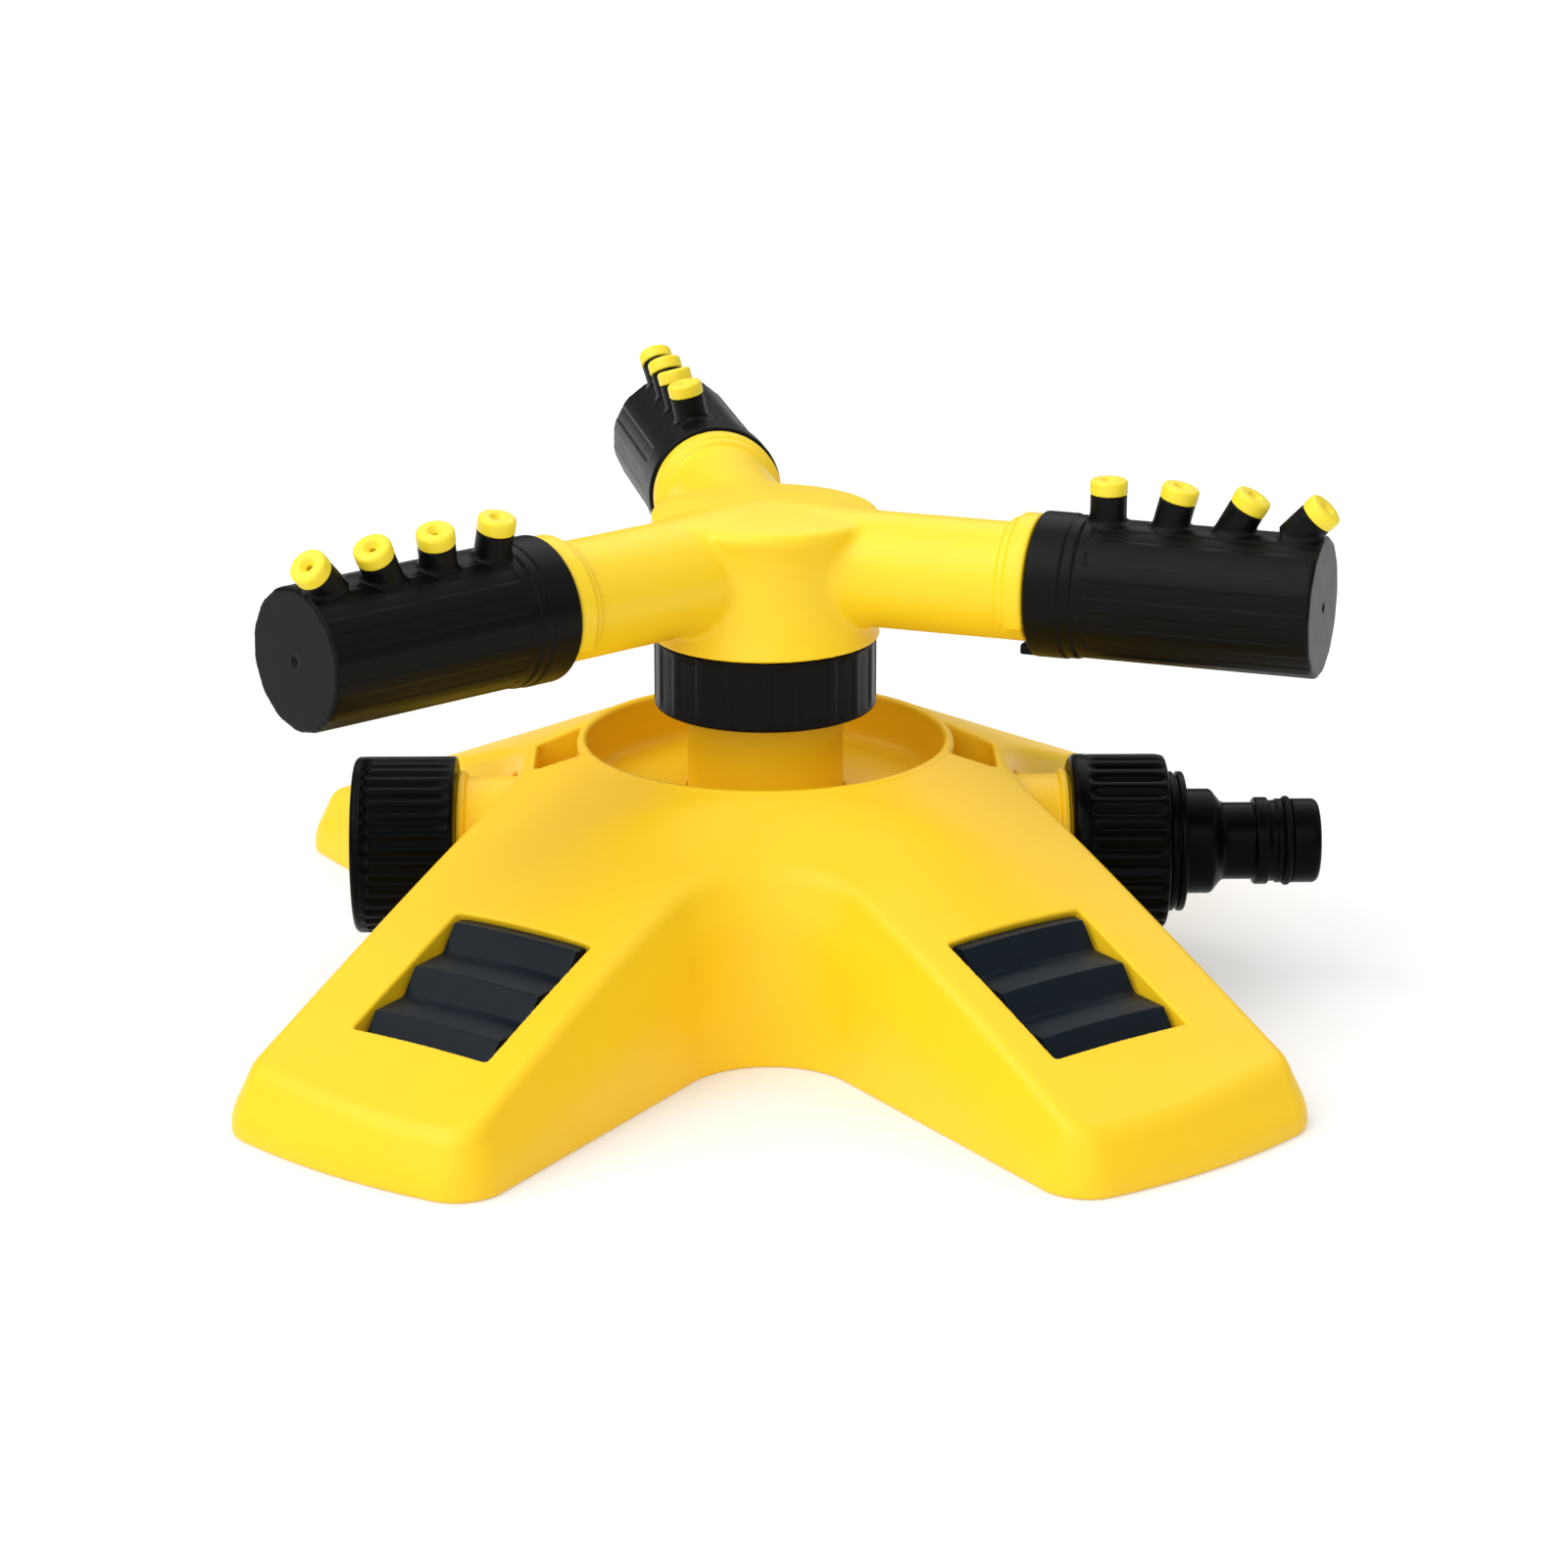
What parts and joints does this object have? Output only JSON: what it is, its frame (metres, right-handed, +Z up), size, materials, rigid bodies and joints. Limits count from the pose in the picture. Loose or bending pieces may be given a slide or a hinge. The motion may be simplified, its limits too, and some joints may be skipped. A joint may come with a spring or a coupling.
{
  "type": "rotary lawn sprinkler",
  "caption": "Free-standing lawn sprinkler: a splayed-leg base with a cross pipe and hose nipple carries a spinning hub with radial arms and tilting nozzle sleeves.",
  "frame": {"origin": "on the ground under the rotor axis, at the middle of the water body's foot", "axes": "+Z up along the rotor axis, +X along the cross pipe towards the hose nipple, -Y the side seen in the reference view"},
  "size_m": [0.204, 0.228, 0.105],
  "materials": {
    "base_plastic": "satin moulded yellow",
    "rotor_plastic": "satin moulded yellow",
    "tread_rubber": "matt moulded black",
    "black_plastic": "satin moulded black",
    "seal_rubber": "soft black rubber",
    "tip_plastic": "satin lemon yellow",
    "bearing_plastic": "smooth white acetal",
    "filter_steel": "perforated stainless sheet",
    "screw_steel": "zinc-plated steel"
  },
  "bodies": {
    "base": {"base_shell": "base_plastic", "water_body": "base_plastic", "tread_front_left": "tread_rubber", "tread_front_right": "tread_rubber", "tread_rear_left": "tread_rubber", "tread_rear_right": "tread_rubber", "base_screws": "screw_steel", "hose_nipple": "black_plastic", "nipple_o_ring": "seal_rubber", "inlet_washer": "seal_rubber", "inlet_filter": "filter_steel", "spindle": "bearing_plastic", "thrust_washer": "bearing_plastic"},
    "cap_seal": {"end_cap_washer": "seal_rubber"},
    "cap": {"end_cap": "black_plastic"},
    "nut": {"hose_nut": "black_plastic"},
    "rotor": {"rotor_hub": "rotor_plastic", "rotor_seal": "seal_rubber", "collar_nut": "black_plastic", "arm_o_ring_1": "seal_rubber", "arm_o_ring_2": "seal_rubber", "arm_o_ring_3": "seal_rubber"},
    "sleeve_1": {"sleeve_1": "black_plastic", "nozzle_tips_1": "tip_plastic"},
    "sleeve_2": {"sleeve_2": "black_plastic", "nozzle_tips_2": "tip_plastic"},
    "sleeve_3": {"sleeve_3": "black_plastic", "nozzle_tips_3": "tip_plastic"}
  },
  "joints": [
    {"name": "rotor_spin", "type": "hinge", "parent": "base", "child": "rotor", "pos_m": [0, 0, 0.0835], "axis": [0, 0, 1], "continuous": true},
    {"name": "cap_travel", "type": "slide", "parent": "base", "child": "cap_seal", "axis": [-1, 0, 0], "range_m": [0, 0.012]},
    {"name": "cap_turn", "type": "hinge", "parent": "cap_seal", "child": "cap", "pos_m": [-0.07, 0, 0.0266], "axis": [1, 0, 0], "range_deg": [0, 2381.5]},
    {"name": "nut_turn", "type": "hinge", "parent": "base", "child": "nut", "pos_m": [0.07, 0, 0.0266], "axis": [1, 0, 0], "continuous": true},
    {"name": "sleeve_1_tilt", "type": "hinge", "parent": "rotor", "child": "sleeve_1", "pos_m": [0.07518, -0.02736, 0.0835], "axis": [0.9397, -0.342, 0], "range_deg": [-45, 45]},
    {"name": "sleeve_2_tilt", "type": "hinge", "parent": "rotor", "child": "sleeve_2", "pos_m": [-0.01389, 0.07878, 0.0835], "axis": [-0.1736, 0.9848, 0], "range_deg": [-33, 57]},
    {"name": "sleeve_3_tilt", "type": "hinge", "parent": "rotor", "child": "sleeve_3", "pos_m": [-0.06128, -0.05142, 0.0835], "axis": [-0.766, -0.6428, 0], "range_deg": [-30.5, 59.5]}
  ],
  "couplings": [
    {"joint": "cap_turn", "follows": "cap_travel", "rad_per_m": 3463.7}
  ]
}
